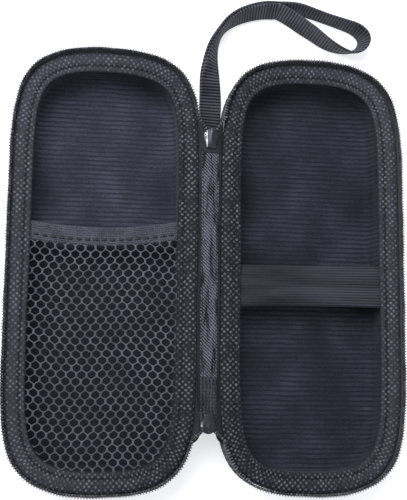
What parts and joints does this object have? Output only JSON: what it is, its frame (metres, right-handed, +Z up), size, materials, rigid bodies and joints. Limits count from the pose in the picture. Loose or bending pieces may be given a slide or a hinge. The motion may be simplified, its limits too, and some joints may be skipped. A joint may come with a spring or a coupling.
{
  "type": "hard zip-around carry case",
  "caption": "Hard moulded-foam zip case opened flat, with a net pocket, an elastic band, a fold strip, zip sliders and a wrist strap.",
  "frame": {"origin": "on the table under the middle of the open case, without the wrist strap", "axes": "+X from the half with the pocket to the half with the band, +Y along the length towards the wrist strap, +Z up out of the open halves"},
  "size_m": [0.172, 0.2233, 0.0258],
  "materials": {
    "cover_cloth": "woven polyester, matt",
    "foam": "closed-cell moulded foam",
    "lining_cloth": "ribbed knit laminated to the foam",
    "binding_knit": "dotted knit tape",
    "zip_tape": "woven polyester tape",
    "zip_coil": "nylon coil",
    "net": "knitted hexagonal net",
    "hem_knit": "folded knit with elastic inside",
    "elastic": "ribbed woven elastic",
    "twill": "twill strip",
    "webbing": "ribbed webbing",
    "slider_metal": "die-cast zinc, painted black"
  },
  "bodies": {
    "left_half": {"left_cover": "cover_cloth", "left_foam": "foam", "left_lining": "lining_cloth", "left_binding": "binding_knit", "left_tape": "zip_tape", "left_coil": "zip_coil", "pocket_net": "net", "pocket_hem": "hem_knit", "wrist_strap": "webbing"},
    "spine": {"spine_cover": "cover_cloth", "spine_strip": "twill", "upper_zip_end": "zip_tape", "lower_zip_end": "zip_tape", "strap_anchor": "webbing"},
    "right_half": {"right_cover": "cover_cloth", "right_foam": "foam", "right_lining": "lining_cloth", "right_binding": "binding_knit", "right_tape": "zip_tape", "right_coil": "zip_coil", "elastic_band": "elastic"},
    "upper_slider": {"upper_slider_body": "slider_metal", "upper_bridge": "slider_metal"},
    "upper_pull": {"upper_pull": "slider_metal"},
    "lower_slider": {"lower_slider_body": "slider_metal", "lower_bridge": "slider_metal"},
    "lower_pull": {"lower_pull": "slider_metal"}
  },
  "joints": [
    {"name": "left_fold", "type": "hinge", "parent": "left_half", "child": "spine", "pos_m": [-0.004, 0, 0.022], "axis": [0, -1, 0], "range_deg": [0, 90]},
    {"name": "right_fold", "type": "hinge", "parent": "spine", "child": "right_half", "pos_m": [0.004, 0, 0.022], "axis": [0, -1, 0], "range_deg": [0, 90]},
    {"name": "upper_slide", "type": "slide", "parent": "spine", "child": "upper_slider", "axis": [0, 1, 0], "range_m": [0, 0.007]},
    {"name": "lower_slide", "type": "slide", "parent": "spine", "child": "lower_slider", "axis": [0, -1, 0], "range_m": [0, 0.007]},
    {"name": "upper_pull_swing", "type": "hinge", "parent": "upper_slider", "child": "upper_pull", "pos_m": [0, 0.0572, 0.01955], "axis": [1, 0, 0], "range_deg": [-3, 85]},
    {"name": "lower_pull_swing", "type": "hinge", "parent": "lower_slider", "child": "lower_pull", "pos_m": [0, -0.0651, 0.01955], "axis": [-1, 0, 0], "range_deg": [-85, 85]}
  ],
  "couplings": [
    {"joint": "left_fold", "follows": "right_fold", "ratio": 1}
  ]
}
